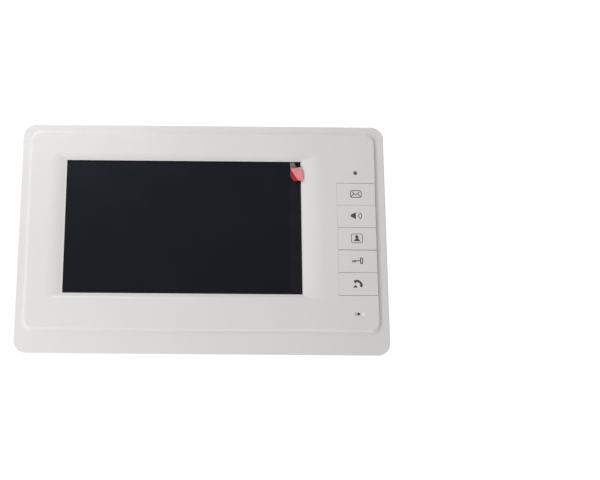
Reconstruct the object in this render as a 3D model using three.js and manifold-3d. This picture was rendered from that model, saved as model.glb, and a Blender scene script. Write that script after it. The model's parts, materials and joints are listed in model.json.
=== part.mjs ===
// A wall-mounted video intercom monitor: a white 7 inch hands-free indoor station.
//
// Units are millimetres. X runs to the right, Z runs up and the front faces -Y.
// The origin is the centre of the wall bracket's back face, so the wall is the plane y = 0.
// Every piece of the object is one closed, named mesh.

import * as THREE from 'three';
import { mergeVertices } from 'three/addons/utils/BufferGeometryUtils.js';
import Module from 'manifold-3d';

const wasm = await Module();
wasm.setup();

// ---------------------------------------------------------------- driving dimensions

const BODY = { w: 240, h: 150.5, r: 8 };
const FACE_Y = -23;                 // front face of the raised panel
const FLANGE_Y = -21.2;             // front face of the flange around the panel
const SKIRT_Y = -15.5;              // back edge of the front cover
const RIM_Y = -0.8;                 // back rim of the rear cover, just clear of the wall
const WALL = 2;                     // moulded wall thickness
const EDGE = 0.6;                   // rounding of the flange's outer edge

const PANEL = { x: 0, z: 4.45, w: 225.8, h: 127.2, r: 5 };
const PANEL_FILLET = 4;             // width of the hollow slope at the panel's foot

const SCREEN = { x: -12.8, z: 7.2, w: 155, h: 88, r: 0.4 };
const RECESS = { left: 10.5, right: 13.5, top: 4.3, bottom: 3.8, depth: 1.9, land: 0.7 };
const LIP_BACK_Y = -20.3;           // back of the cover where it frames the screen

const KEY_NAMES = ['message_key', 'volume_key', 'view_key', 'unlock_key', 'talk_key'];
const KEY = { left: 87.6, right: 112.9, top: 36.4, pitch: 14.73, slit: 0.3 };
const KEY_BACK_Y = -20.4;
const BUTTON_X = 100.2;             // centre line of the indicator, icons and microphone
const LED_Z = 43.3;
const MIC_Z = -49;

const LCD = { w: 165, h: 100, front: -20.1, back: -15.7 };
const KEY_BOARD = { left: 79, right: 110.5, bottom: -54, top: 48, front: -15.3, back: -13.7 };
const MAIN_BOARD = { x: -3, z: -2, w: 126, h: 80, front: -12.6, back: -11 };

const REAR = { w: 229, h: 140, r: 6, taper: 2 };
const REAR_LIP = { w: 234, h: 145, front: -17.2 };
const BAY = { left: -80, right: 80, bottom: -53.5, top: 46, floor: -5.2 };

const BRACKET = { w: 156, h: 88, r: 4, thick: 1.2 };
const BRACKET_WINDOW = { x: 38.5, w: 51, h: 64, r: 3 };
const HOOK = { x: 71, w: 10, tip: 6, reach: -8.7 };
const HOOK_ROWS = [20, -32];        // heights at which the housing hangs on the hooks
const LIFT = 7.5;                   // how far the housing is lifted to come off its hooks

const CASE_SCREWS = [[-104, 60], [0, 62.5], [104, 60], [-104, -62], [0, -62], [104, -62]];
const BOARD_SCREWS = [[-60, 32], [54, 32], [-60, -36], [54, -36]];
const RETAINERS = [{ name: 'left', x: -98, screw: -100.5 }, { name: 'right', x: 72, screw: 74.5 }];
const RETAINER = { w: 10, h: 56, z: 8 };
const KEY_BOARD_SCREWS = [[83, 44.5], [83, -50.5]];
const SCREW_SHANK_R = 1.4;
const SCREW_HOLE_R = 1.7;

const SOCKET_X = -46;
const SOCKETS = [
  { name: 'door_socket_1', z: 8, w: 13 },
  { name: 'door_socket_2', z: -4, w: 13 },
  { name: 'power_socket', z: -16, w: 8.4 },
];
const SOCKET = { h: 7.6, front: -10.8, mouth: -4.2, wall: 1.1, floor: -9.6 };

const SPEAKER = { x: -96, z: -20, w: 24, h: 40, r: 7, front: -10.4, back: -3.2 };

const WHEEL_NAMES = ['brightness', 'colour', 'volume'];
const WHEEL = { x: 107, r: 9.2, teeth: 24, tooth: 0.6, top: 32, pitch: 22, front: -11.9, back: -9.6 };

// ---------------------------------------------------------------- colours and finishes

const finish = (color, roughness, metalness = 0) => ({ color, roughness, metalness });
const WHITE_PLASTIC = finish(0xdedddb, 0.45);
const GREY_PLASTIC = finish(0xb9bab9, 0.5);
const BLACK_PLASTIC = finish(0x1d1e20, 0.5);
const CREAM_PLASTIC = finish(0xe8e2cf, 0.5);
const SCREEN_GLASS = finish(0x1e2124, 0.12);
const CLEAR_FILM = finish(0x2a2d31, 0.2);
const RED_FILM = finish(0xd0606a, 0.35);
const DIFFUSER = finish(0xf2f2ee, 0.6);
const LENS = finish(0x8a8d90, 0.25);
const GREEN_BOARD = finish(0x1f6b3e, 0.45);
const STEEL = finish(0xb8babc, 0.35, 1);
const BLACK_RUBBER = finish(0x222222, 0.85);
const PAPER_CONE = finish(0x35332f, 0.9);
const AMBER_FLEX = finish(0xc58a3c, 0.4);

// ---------------------------------------------------------------- solids

const toSolid = (geometry) => {
  const bare = geometry.index ? geometry.toNonIndexed() : geometry.clone();
  bare.deleteAttribute('normal');
  bare.deleteAttribute('uv');
  const merged = mergeVertices(bare, 1e-4);
  const vertProperties = new Float32Array(merged.attributes.position.array);
  const triVerts = new Uint32Array(merged.index.array);
  return new wasm.Manifold(new wasm.Mesh({ numProp: 3, vertProperties, triVerts }));
};

const toGeometry = (solid) => {
  const mesh = solid.getMesh();
  const geometry = new THREE.BufferGeometry();
  const positions = new Float32Array(mesh.numVert * 3);
  for (let i = 0; i < mesh.numVert; i += 1) {
    for (let axis = 0; axis < 3; axis += 1) {
      positions[3 * i + axis] = mesh.vertProperties[mesh.numProp * i + axis];
    }
  }
  geometry.setAttribute('position', new THREE.BufferAttribute(positions, 3));
  geometry.setIndex(new THREE.BufferAttribute(new Uint32Array(mesh.triVerts), 1));
  geometry.computeVertexNormals();
  return geometry;
};

const join = (solids) => solids.reduce((sum, solid) => sum.add(solid));
const cut = (solid, tools) => tools.reduce((rest, tool) => rest.subtract(tool), solid);

// An axis-aligned block between two corners.
const block = (low, high) => {
  const size = high.map((value, axis) => value - low[axis]);
  const geometry = new THREE.BoxGeometry(...size);
  geometry.translate(...high.map((value, axis) => (value + low[axis]) / 2));
  return toSolid(geometry);
};

// A round bar along Y, centred on (x, z).
const bar = (x, z, radius, front, back, segments = 16) => {
  const geometry = new THREE.CylinderGeometry(radius, radius, back - front, segments);
  geometry.translate(x, (front + back) / 2, z);
  return toSolid(geometry);
};

// The points of a rounded rectangle in the XZ plane, anticlockwise seen from the front.
const CORNER_STEPS = 5;
const outline = ({ x, z, w, h, r }) => {
  const points = [];
  const corners = [[1, 1], [-1, 1], [-1, -1], [1, -1]];
  corners.forEach(([sx, sz], index) => {
    const cx = x + sx * (w / 2 - r);
    const cz = z + sz * (h / 2 - r);
    for (let step = 0; step <= CORNER_STEPS; step += 1) {
      const angle = (index + step / CORNER_STEPS) * (Math.PI / 2);
      points.push([cx + r * Math.cos(angle), cz + r * Math.sin(angle)]);
    }
  });
  return points;
};

// A solid skinned over rounded rectangles, listed from the back ({..., y}) to the front.
const loft = (sections) => {
  const rings = sections.map((section) => outline(section));
  const count = rings[0].length;
  const positions = [];
  rings.forEach((ring, index) => {
    ring.forEach(([x, z]) => positions.push(x, sections[index].y, z));
  });
  const indices = [];
  for (let ring = 0; ring + 1 < rings.length; ring += 1) {
    for (let i = 0; i < count; i += 1) {
      const a = ring * count + i;
      const b = ring * count + ((i + 1) % count);
      indices.push(a, b, b + count, a, b + count, a + count);
    }
  }
  const last = (rings.length - 1) * count;
  for (let i = 1; i + 1 < count; i += 1) {
    indices.push(0, i + 1, i);
    indices.push(last, last + i, last + i + 1);
  }
  const geometry = new THREE.BufferGeometry();
  geometry.setAttribute('position', new THREE.Float32BufferAttribute(positions, 3));
  geometry.setIndex(indices);
  return toSolid(geometry);
};

// A flat-sided plate with a rounded rectangular outline.
const plate = (section, front, back) => loft([{ ...section, y: back }, { ...section, y: front }]);

const grow = (section, by) => ({
  ...section,
  w: section.w + 2 * by,
  h: section.h + 2 * by,
  r: Math.max(section.r + by, 0.2),
});

const mid = (low, high) => (low + high) / 2;

// ---------------------------------------------------------------- scene graph

const monitor = new THREE.Group();

const addPiece = (name, solid, look) => {
  const mesh = new THREE.Mesh(toGeometry(solid), new THREE.MeshStandardMaterial(look));
  mesh.name = name;
  monitor.add(mesh);
};

// ---------------------------------------------------------------- front cover

const body = { x: 0, z: 0, ...BODY };

// The tray's outside, with a softened front edge.
const frontTray = () => loft([
  { ...body, y: SKIRT_Y },
  { ...body, y: FLANGE_Y + EDGE },
  { ...grow(body, -0.3 * EDGE), y: FLANGE_Y + 0.3 * EDGE },
  { ...grow(body, -EDGE), y: FLANGE_Y },
]);

// The raised panel stands on the flange with a hollow slope all round its foot.
const raisedPanel = () => {
  const steps = 5;
  const rise = FLANGE_Y - FACE_Y;
  const sections = [{ ...grow(PANEL, PANEL_FILLET), y: FLANGE_Y + 1 }];
  for (let step = 0; step <= steps; step += 1) {
    const out = 1 - step / steps;
    const height = rise * (1 - out) ** 3;
    sections.push({ ...grow(PANEL, PANEL_FILLET * out), y: FLANGE_Y - height });
  }
  return loft(sections);
};

// The picture-frame slope that rolls off the panel's face down to a narrow land round the screen.
const screenRecess = () => {
  const steps = 6;
  const outer = {
    x: SCREEN.x + (RECESS.right - RECESS.left) / 2,
    z: SCREEN.z + (RECESS.top - RECESS.bottom) / 2,
    w: SCREEN.w + RECESS.left + RECESS.right,
    h: SCREEN.h + RECESS.top + RECESS.bottom,
    r: 2.5,
  };
  const land = grow(SCREEN, RECESS.land);
  const sections = [
    { ...SCREEN, y: LIP_BACK_Y + 1 },
    { ...SCREEN, y: FACE_Y + RECESS.depth },
  ];
  for (let step = 0; step <= steps; step += 1) {
    const t = step / steps;
    const section = {};
    Object.keys(outer).forEach((key) => { section[key] = land[key] + (outer[key] - land[key]) * t; });
    sections.push({ ...section, y: FACE_Y + RECESS.depth * (1 - t) ** 2 });
  }
  sections.push({ ...outer, y: FACE_Y - 1 });
  return loft(sections);
};

const retainerBosses = () => RETAINERS.flatMap(({ screw }) => [[screw, RETAINER.z]]);
const innerBosses = () => [...retainerBosses(), ...KEY_BOARD_SCREWS];

// The hollow behind the front face. Screw bosses and the screen surround stay solid.
const frontHollow = () => {
  const inner = grow(body, -WALL - 0.2);
  const shallow = plate(inner, FLANGE_Y + WALL, SKIRT_Y + 1);
  const deep = plate(grow(PANEL, -1.5), FACE_Y + WALL, SKIRT_Y + 1);
  const surround = plate({ ...grow(SCREEN, 9), r: 3 }, FACE_Y, LIP_BACK_Y);
  const hollow = shallow.add(deep.subtract(surround));
  const caseBosses = CASE_SCREWS.map(([x, z]) => bar(x, z, 3.6, FACE_Y, 0));
  const smallBosses = innerBosses().map(([x, z]) => bar(x, z, 2.8, FACE_Y, 0));
  return cut(hollow, [...caseBosses, ...smallBosses]);
};

const keyWindow = () => {
  const bottom = KEY.top - KEY_NAMES.length * KEY.pitch;
  const half = KEY.slit / 2;
  return block([KEY.left - half, FACE_Y - 1, bottom - half], [KEY.right + 0.25, 0, KEY.top + half]);
};

const frontCover = () => {
  const shell = frontTray().add(raisedPanel());
  const screwHoles = [...CASE_SCREWS, ...innerBosses()];
  const countersink = new THREE.CylinderGeometry(0.6, 1.4, 0.8, 16);
  countersink.rotateX(Math.PI);
  countersink.translate(BUTTON_X, FACE_Y + 0.3, MIC_Z);
  return cut(shell, [
    frontHollow(),
    screenRecess(),
    keyWindow(),
    bar(BUTTON_X, LED_Z, 1.35, FACE_Y - 1, 0),
    bar(BUTTON_X, MIC_Z, 0.6, FACE_Y - 1, 0),
    toSolid(countersink),
    ...screwHoles.map(([x, z]) => bar(x, z, SCREW_HOLE_R, -20.4, 0, 12)),
  ]);
};

// ---------------------------------------------------------------- screen

const lcdSection = { x: SCREEN.x, z: SCREEN.z, w: LCD.w, h: LCD.h, r: 1 };

const lcdFrame = () => {
  const metal = 0.3;
  const pocket = plate(grow(lcdSection, -metal), LCD.front + metal, LCD.back - metal);
  const window = plate(grow(SCREEN, 1), LCD.front - 1, LCD.front + 1);
  return cut(plate(lcdSection, LCD.front, LCD.back), [pocket, window]);
};

const lcdPanel = () => plate(grow(lcdSection, -0.6), -19.75, -18.5);
const lcdBacklight = () => plate(grow(lcdSection, -0.6), -18.3, -16.15);

// The protective film stops short of the screen's right edge, where its pull tab is folded out.
const FILM = { left: -89.3, right: 57, bottom: -35.8, top: 50.2 };
const screenFilm = () => block([FILM.left, -19.95, FILM.bottom], [FILM.right, -19.8, FILM.top]);

const pullTab = () => {
  const shape = new THREE.Shape();
  shape.moveTo(57.3, 46.1);
  shape.lineTo(57.3, 43);
  shape.lineTo(61.1, 37);
  shape.lineTo(65.4, 38.4);
  shape.lineTo(64.2, 46.8);
  shape.closePath();
  const geometry = new THREE.ExtrudeGeometry(shape, { depth: 0.3, bevelEnabled: false });
  geometry.rotateX(Math.PI / 2);
  geometry.applyMatrix4(new THREE.Matrix4().makeShear(-0.2, 0, 0, 0, 0, 0));
  geometry.translate(0, -20.1 + 0.2 * 57.3, 0);
  return toSolid(geometry);
};

const retainer = ({ x, screw }) => {
  const strip = { x, z: RETAINER.z, w: RETAINER.w, h: RETAINER.h, r: 1.5 };
  const hole = bar(screw, RETAINER.z, SCREW_HOLE_R, -16, -14, 12);
  return cut(plate(strip, SKIRT_Y + 0.1, SKIRT_Y + 1.1), [hole]);
};

// ---------------------------------------------------------------- keys

const keyCentre = (index) => KEY.top - (index + 0.5) * KEY.pitch;

// A key cap fills its share of the window; two flanges keep it from falling out forwards.
const keyCap = (index) => {
  const top = keyCentre(index) + KEY.pitch / 2 - KEY.slit / 2;
  const bottom = keyCentre(index) - KEY.pitch / 2 + KEY.slit / 2;
  const left = KEY.left + KEY.slit / 2;
  const flangeFront = FACE_Y + WALL + 0.15;
  const cap = block([left, FACE_Y, bottom], [KEY.right, KEY_BACK_Y, top]);
  const leftFlange = block([left - 1.2, flangeFront, bottom + 2], [left + 1, KEY_BACK_Y, top - 2]);
  const stem = block([BUTTON_X - 2, KEY_BACK_Y - 0.5, keyCentre(index) - 2],
    [BUTTON_X + 2, KEY_BACK_Y + 0.3, keyCentre(index) + 2]);
  const hollow = block([left + 1.4, FACE_Y + 1.5, bottom + 1.4], [BUTTON_X - 3, KEY_BACK_Y + 1, top - 1.4]);
  return join([cap, leftFlange, stem]).subtract(hollow);
};

const SWITCH = { half: 3, front: -18.9, holeR: 1.9, plungerR: 1.6 };

const switchBody = (index) => {
  const z = keyCentre(index);
  const box = block([BUTTON_X - SWITCH.half, SWITCH.front, z - SWITCH.half],
    [BUTTON_X + SWITCH.half, KEY_BOARD.front - 0.05, z + SWITCH.half]);
  return cut(box, [bar(BUTTON_X, z, SWITCH.holeR, SWITCH.front - 1, SWITCH.front + 1.6)]);
};

const switchPlunger = (index) => bar(BUTTON_X, keyCentre(index), SWITCH.plungerR, -20.05, -18);

const keyBoard = () => {
  const { left, right, bottom, top, front, back } = KEY_BOARD;
  const section = { x: mid(left, right), z: mid(bottom, top), w: right - left, h: top - bottom, r: 1 };
  const holes = KEY_BOARD_SCREWS.map(([x, z]) => bar(x, z, SCREW_HOLE_R, front - 1, back + 1, 12));
  return cut(plate(section, front, back), holes);
};

// The indicator's light guide is a shouldered pin whose end is flush with the panel.
const lightGuide = () => join([
  bar(BUTTON_X, LED_Z, 1.15, FACE_Y, -17.4),
  bar(BUTTON_X, LED_Z, 2, -20.7, -19.9),
]);

const indicatorLed = () => block([BUTTON_X - 1.6, -17.1, LED_Z - 1], [BUTTON_X + 1.6, -15.4, LED_Z + 1]);

const microphoneBoot = () => cut(bar(BUTTON_X, MIC_Z, 4.2, -20.8, -15.7, 20), [
  bar(BUTTON_X, MIC_Z, 3.2, -19.4, -15, 20),
  bar(BUTTON_X, MIC_Z, 0.8, -22, -19),
]);

const microphone = () => bar(BUTTON_X, MIC_Z, 3, -19, -15.9, 20);

// ---------------------------------------------------------------- boards and electrics

const mainBoard = () => {
  const holes = BOARD_SCREWS.map(([x, z]) => bar(x, z, SCREW_HOLE_R, -14, -10, 12));
  return cut(plate({ ...MAIN_BOARD, r: 1.5 }, MAIN_BOARD.front, MAIN_BOARD.back), holes);
};

// A pin header's shroud, open towards the wall so that the plug goes in from behind.
const socket = ({ z, w }) => {
  const shroud = { x: SOCKET_X, z, w, h: SOCKET.h, r: 0.3 };
  const cavity = plate(grow(shroud, -SOCKET.wall), SOCKET.floor, 0);
  return plate(shroud, SOCKET.front, SOCKET.mouth).subtract(cavity);
};

// A flat cable: a thin ribbon whose side view is a shallow step, drawn in the XY plane.
const ribbon = (xStart, xEnd, yStart, yEnd, zLow, zHigh) => {
  const thick = 0.35;
  const shape = new THREE.Shape();
  const bendStart = xStart + (xEnd - xStart) / 3;
  const bendEnd = xEnd - (xEnd - xStart) / 3;
  shape.moveTo(xStart, yStart);
  shape.lineTo(bendStart, yStart);
  shape.lineTo(bendEnd, yEnd);
  shape.lineTo(xEnd, yEnd);
  shape.lineTo(xEnd, yEnd + thick);
  shape.lineTo(bendEnd, yEnd + thick);
  shape.lineTo(bendStart, yStart + thick);
  shape.lineTo(xStart, yStart + thick);
  shape.closePath();
  const geometry = new THREE.ExtrudeGeometry(shape, { depth: zHigh - zLow, bevelEnabled: false });
  geometry.translate(0, 0, zLow);
  return toSolid(geometry);
};

const keyBoardCable = () => ribbon(50, 88, -13.1, -13.4, -31, -23);
const lcdFlexCable = () => ribbon(-40, -6, -15.4, -13.2, -14, 14);

// ---------------------------------------------------------------- speaker

const speakerFrame = () => {
  const section = { x: SPEAKER.x, z: SPEAKER.z, w: SPEAKER.w, h: SPEAKER.h, r: SPEAKER.r };
  const dish = loft([
    { ...grow(section, -1.5), y: SPEAKER.back + 1 },
    { ...grow(section, -1.5), y: SPEAKER.back - 0.8 },
    { ...grow(section, -5), y: SPEAKER.front + 2 },
  ]);
  const magnetSeat = bar(SPEAKER.x, SPEAKER.z, 6.3, SPEAKER.front - 1, SPEAKER.front + 3, 20);
  return cut(plate(section, SPEAKER.front, SPEAKER.back), [dish, magnetSeat]);
};

const speakerCone = () => {
  const section = { x: SPEAKER.x, z: SPEAKER.z, w: SPEAKER.w, h: SPEAKER.h, r: SPEAKER.r };
  const skin = (shift) => [
    { ...grow(section, -2), y: SPEAKER.back - 0.9 + shift },
    { ...grow(section, -3.5), y: SPEAKER.back - 1.2 + shift },
    { ...grow(section, -7), y: SPEAKER.back - 3 + shift },
  ];
  const mouth = { ...grow(section, -2.3), y: SPEAKER.back + 1 };
  const hollow = loft([mouth, ...skin(0.35).map((ring) => grow(ring, -0.3))]);
  return loft(skin(0)).subtract(hollow);
};

const speakerMagnet = () => bar(SPEAKER.x, SPEAKER.z, 6, -12.2, SPEAKER.back - 4.6, 20);

// ---------------------------------------------------------------- adjusting wheels

const wheelCentre = (index) => WHEEL.top - index * WHEEL.pitch;

const thumbwheel = (index) => {
  const z = wheelCentre(index);
  const shape = new THREE.Shape();
  for (let i = 0; i < 2 * WHEEL.teeth; i += 1) {
    const angle = (i / (2 * WHEEL.teeth)) * 2 * Math.PI;
    const radius = i % 2 === 0 ? WHEEL.r : WHEEL.r - WHEEL.tooth;
    const place = i === 0 ? 'moveTo' : 'lineTo';
    shape[place](WHEEL.x + radius * Math.cos(angle), z + radius * Math.sin(angle));
  }
  shape.closePath();
  const depth = WHEEL.back - WHEEL.front;
  const geometry = new THREE.ExtrudeGeometry(shape, { depth, bevelEnabled: false });
  geometry.rotateX(Math.PI / 2);
  geometry.translate(0, WHEEL.back, 0);
  return toSolid(geometry).add(bar(WHEEL.x, z, 1.4, -13, WHEEL.front + 0.5, 12));
};

const potentiometer = (index) => {
  const z = wheelCentre(index);
  const box = block([WHEEL.x - 3.5, KEY_BOARD.back + 0.05, z - 4], [WHEEL.x + 3.5, -12.2, z + 4]);
  return cut(box, [bar(WHEEL.x, z, 1.6, -13.3, -11, 12)]);
};

// ---------------------------------------------------------------- rear cover

const rearSection = { x: 0, z: 0, w: REAR.w, h: REAR.h, r: REAR.r };

const rearShell = () => {
  const lip = plate({ ...rearSection, w: REAR_LIP.w, h: REAR_LIP.h }, REAR_LIP.front, SKIRT_Y - 0.2);
  const tub = loft([
    { ...grow(rearSection, -REAR.taper - 1.6), y: RIM_Y },
    { ...grow(rearSection, -REAR.taper - 0.4), y: RIM_Y - 0.6 },
    { ...grow(rearSection, -REAR.taper), y: RIM_Y - 1.8 },
    { ...rearSection, y: REAR_LIP.front },
  ]);
  const inside = loft([
    { ...grow(rearSection, -REAR.taper - WALL), y: RIM_Y - WALL },
    { ...grow(rearSection, -WALL), y: REAR_LIP.front - 1 },
  ]);
  return lip.add(tub).subtract(inside);
};

const baySection = {
  x: mid(BAY.left, BAY.right),
  z: mid(BAY.bottom, BAY.top),
  w: BAY.right - BAY.left,
  h: BAY.top - BAY.bottom,
  r: 3,
};

const hookSlots = () => HOOK_ROWS.flatMap((z) => [-HOOK.x, HOOK.x].map((x) => block(
  [x - HOOK.w / 2 - 1, BAY.floor - WALL - 1, z - BRACKET.thick - LIFT - 0.7],
  [x + HOOK.w / 2 + 1, BAY.floor + 1, z + 0.05],
)));

const socketWindow = () => {
  const widest = Math.max(...SOCKETS.map(({ w }) => w));
  const top = Math.max(...SOCKETS.map(({ z }) => z)) + SOCKET.h / 2 + 0.8;
  const bottom = Math.min(...SOCKETS.map(({ z }) => z)) - SOCKET.h / 2 - 0.8;
  const half = widest / 2 + 0.8;
  return block([SOCKET_X - half, -9, bottom], [SOCKET_X + half, -4, top]);
};

const speakerGrille = () => {
  const slots = [];
  for (let i = -4; i <= 4; i += 1) {
    const z = SPEAKER.z + i * 3.6;
    slots.push(block([SPEAKER.x - 8, RIM_Y - WALL - 1, z - 0.8], [SPEAKER.x + 8, 1, z + 0.8]));
  }
  return slots;
};

const airVents = () => {
  const slots = [];
  for (let x = 16; x <= 80; x += 16) {
    [-x, x].forEach((centre) => {
      slots.push(block([centre - 5, -11, 60], [centre + 5, -9, 80]));
      slots.push(block([centre - 5, -11, -80], [centre + 5, -9, -60]));
    });
  }
  return slots;
};

const wheelSlots = () => WHEEL_NAMES.map((name, index) => {
  const z = wheelCentre(index);
  return block([104, WHEEL.front - 0.5, z - 8.2], [120, WHEEL.back + 0.5, z + 8.2]);
});

const HEAD_SEAT_Y = -11.7;          // where the case screws' heads bear inside their posts

const rearCover = () => {
  const bayWalls = plate(grow(baySection, WALL), BAY.floor - WALL, RIM_Y - 0.1);
  const posts = CASE_SCREWS.map(([x, z]) => bar(x, z, 4.4, SKIRT_Y + 0.1, RIM_Y - 0.5));
  const pillars = BOARD_SCREWS.map(([x, z]) => bar(x, z, 3, MAIN_BOARD.back + 0.1, BAY.floor - 1));
  return cut(join([rearShell(), bayWalls, ...posts, ...pillars]), [
    plate(baySection, BAY.floor, 1),
    ...CASE_SCREWS.map(([x, z]) => bar(x, z, 3.2, HEAD_SEAT_Y, 1)),
    ...CASE_SCREWS.map(([x, z]) => bar(x, z, SCREW_HOLE_R, -20, 1, 12)),
    ...BOARD_SCREWS.map(([x, z]) => bar(x, z, SCREW_HOLE_R, -14, BAY.floor - 1.2, 12)),
    ...hookSlots(),
    socketWindow(),
    ...speakerGrille(),
    ...airVents(),
    ...wheelSlots(),
  ]);
};

// ---------------------------------------------------------------- wall bracket

const hook = (x, z) => {
  const low = x - HOOK.w / 2;
  const high = x + HOOK.w / 2;
  const neck = block([low, HOOK.reach, z - BRACKET.thick], [high, -0.6, z]);
  const tip = block([low, HOOK.reach, z - BRACKET.thick], [high, HOOK.reach + BRACKET.thick, z + HOOK.tip]);
  return neck.add(tip);
};

const wallBracket = () => {
  const section = { x: 0, z: 0, w: BRACKET.w, h: BRACKET.h, r: BRACKET.r };
  const windows = [-1, 1].map((side) => plate(
    { ...BRACKET_WINDOW, x: side * BRACKET_WINDOW.x, z: 0 }, -BRACKET.thick - 1, 1));
  const screwHoles = [-41.75, 41.75].flatMap((x) => [-38, 38].map((z) => bar(x, z, 2.2, -3, 1)));
  const hooks = HOOK_ROWS.flatMap((z) => [hook(-HOOK.x, z), hook(HOOK.x, z)]);
  return join([cut(plate(section, -BRACKET.thick, 0), [...windows, ...screwHoles]), ...hooks]);
};

// ---------------------------------------------------------------- screws

// A pan-head screw along Y with its head towards the wall. The shank points to the front.
const backScrew = (x, z, tipY, seatY) => {
  const headR = 2.7;
  const headH = 1.8;
  const profile = [
    [0, tipY], [SCREW_SHANK_R * 0.5, tipY], [SCREW_SHANK_R, tipY + 0.8], [SCREW_SHANK_R, seatY],
    [headR, seatY], [headR, seatY + headH * 0.6], [headR * 0.6, seatY + headH], [0, seatY + headH],
  ].map(([radius, y]) => new THREE.Vector2(radius, y));
  const geometry = new THREE.LatheGeometry(profile, 12);
  geometry.translate(x, 0, z);
  return toSolid(geometry);
};

// The same screw with its head towards the front, which holds the main board to the rear cover.
const frontScrew = (x, z, tipY, seatY) => {
  const turned = new THREE.Matrix4().makeRotationX(Math.PI).setPosition(x, 0, z);
  const geometry = toGeometry(backScrew(0, 0, -tipY, -seatY));
  geometry.applyMatrix4(turned);
  return toSolid(geometry);
};

// ---------------------------------------------------------------- assembly

addPiece('wall_bracket', wallBracket(), STEEL);
addPiece('front_cover', frontCover(), WHITE_PLASTIC);
addPiece('rear_cover', rearCover(), WHITE_PLASTIC);

addPiece('lcd_frame', lcdFrame(), STEEL);
addPiece('lcd_panel', lcdPanel(), SCREEN_GLASS);
addPiece('lcd_backlight', lcdBacklight(), DIFFUSER);
addPiece('screen_film', screenFilm(), CLEAR_FILM);
addPiece('film_pull_tab', pullTab(), RED_FILM);
RETAINERS.forEach((side) => {
  addPiece(`lcd_retainer_${side.name}`, retainer(side), STEEL);
  addPiece(`lcd_retainer_screw_${side.name}`, backScrew(side.screw, RETAINER.z, -20, SKIRT_Y + 1.2), STEEL);
});

KEY_NAMES.forEach((name, index) => {
  addPiece(`${name}_cap`, keyCap(index), WHITE_PLASTIC);
  addPiece(`${name}_plunger`, switchPlunger(index), BLACK_PLASTIC);
  addPiece(`${name}_switch`, switchBody(index), BLACK_PLASTIC);
});
addPiece('key_board', keyBoard(), GREEN_BOARD);
KEY_BOARD_SCREWS.forEach(([x, z], index) => {
  addPiece(`key_board_screw_${index + 1}`, backScrew(x, z, -20, KEY_BOARD.back + 0.1), STEEL);
});
addPiece('indicator_light_guide', lightGuide(), LENS);
addPiece('indicator_led', indicatorLed(), CREAM_PLASTIC);
addPiece('microphone_boot', microphoneBoot(), BLACK_RUBBER);
addPiece('microphone', microphone(), STEEL);

addPiece('main_board', mainBoard(), GREEN_BOARD);
BOARD_SCREWS.forEach(([x, z], index) => {
  addPiece(`main_board_screw_${index + 1}`, frontScrew(x, z, -7, MAIN_BOARD.front - 0.1), STEEL);
});
SOCKETS.forEach((each) => addPiece(each.name, socket(each), CREAM_PLASTIC));
addPiece('key_board_cable', keyBoardCable(), GREY_PLASTIC);
addPiece('lcd_flex_cable', lcdFlexCable(), AMBER_FLEX);

addPiece('speaker_frame', speakerFrame(), BLACK_PLASTIC);
addPiece('speaker_cone', speakerCone(), PAPER_CONE);
addPiece('speaker_magnet', speakerMagnet(), STEEL);

WHEEL_NAMES.forEach((name, index) => {
  addPiece(`${name}_wheel`, thumbwheel(index), GREY_PLASTIC);
  addPiece(`${name}_potentiometer`, potentiometer(index), BLACK_PLASTIC);
});

CASE_SCREWS.forEach(([x, z], index) => {
  addPiece(`case_screw_${index + 1}`, backScrew(x, z, -20, HEAD_SEAT_Y + 0.1), STEEL);
});

export default monitor;
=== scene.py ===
"""The looks of a wall-mounted video intercom monitor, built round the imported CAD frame.

Everything is in metres, in the frame of the CAD: X to the right, Y into the wall, Z up. Lengths
that read better in millimetres are written as N * MM. A section is a rounded rectangle seen from
the front: a dict of its middle (x, z), its width w, its height h and its corner radius r.
"""

import json
import math

import bmesh
import bpy
from mathutils import Matrix, Vector


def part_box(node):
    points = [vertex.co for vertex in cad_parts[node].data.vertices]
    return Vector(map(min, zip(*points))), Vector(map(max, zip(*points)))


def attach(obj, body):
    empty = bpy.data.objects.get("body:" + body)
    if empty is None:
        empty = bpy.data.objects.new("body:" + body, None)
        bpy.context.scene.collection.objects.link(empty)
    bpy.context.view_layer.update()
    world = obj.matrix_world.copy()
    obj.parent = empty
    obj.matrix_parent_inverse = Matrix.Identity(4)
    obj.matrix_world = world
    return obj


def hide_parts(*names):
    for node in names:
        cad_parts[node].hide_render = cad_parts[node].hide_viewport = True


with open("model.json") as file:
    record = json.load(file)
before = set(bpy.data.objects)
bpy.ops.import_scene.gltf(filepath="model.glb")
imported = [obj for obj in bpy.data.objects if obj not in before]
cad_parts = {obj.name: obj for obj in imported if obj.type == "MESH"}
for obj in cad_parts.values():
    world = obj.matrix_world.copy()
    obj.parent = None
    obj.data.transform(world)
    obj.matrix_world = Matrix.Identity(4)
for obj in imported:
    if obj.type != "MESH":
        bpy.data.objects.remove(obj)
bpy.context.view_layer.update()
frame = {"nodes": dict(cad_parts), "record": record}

MM = 0.001

# ------------------------------------------------------------------ sizes taken from the frame

def middle_of(node):
    """The x and z of the middle of a CAD node's box."""
    low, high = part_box(node)
    return (low.x + high.x) / 2, (low.z + high.z) / 2


KEYS = ["message_key", "volume_key", "view_key", "unlock_key", "talk_key"]
WHEELS = ["brightness", "colour", "volume"]

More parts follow.
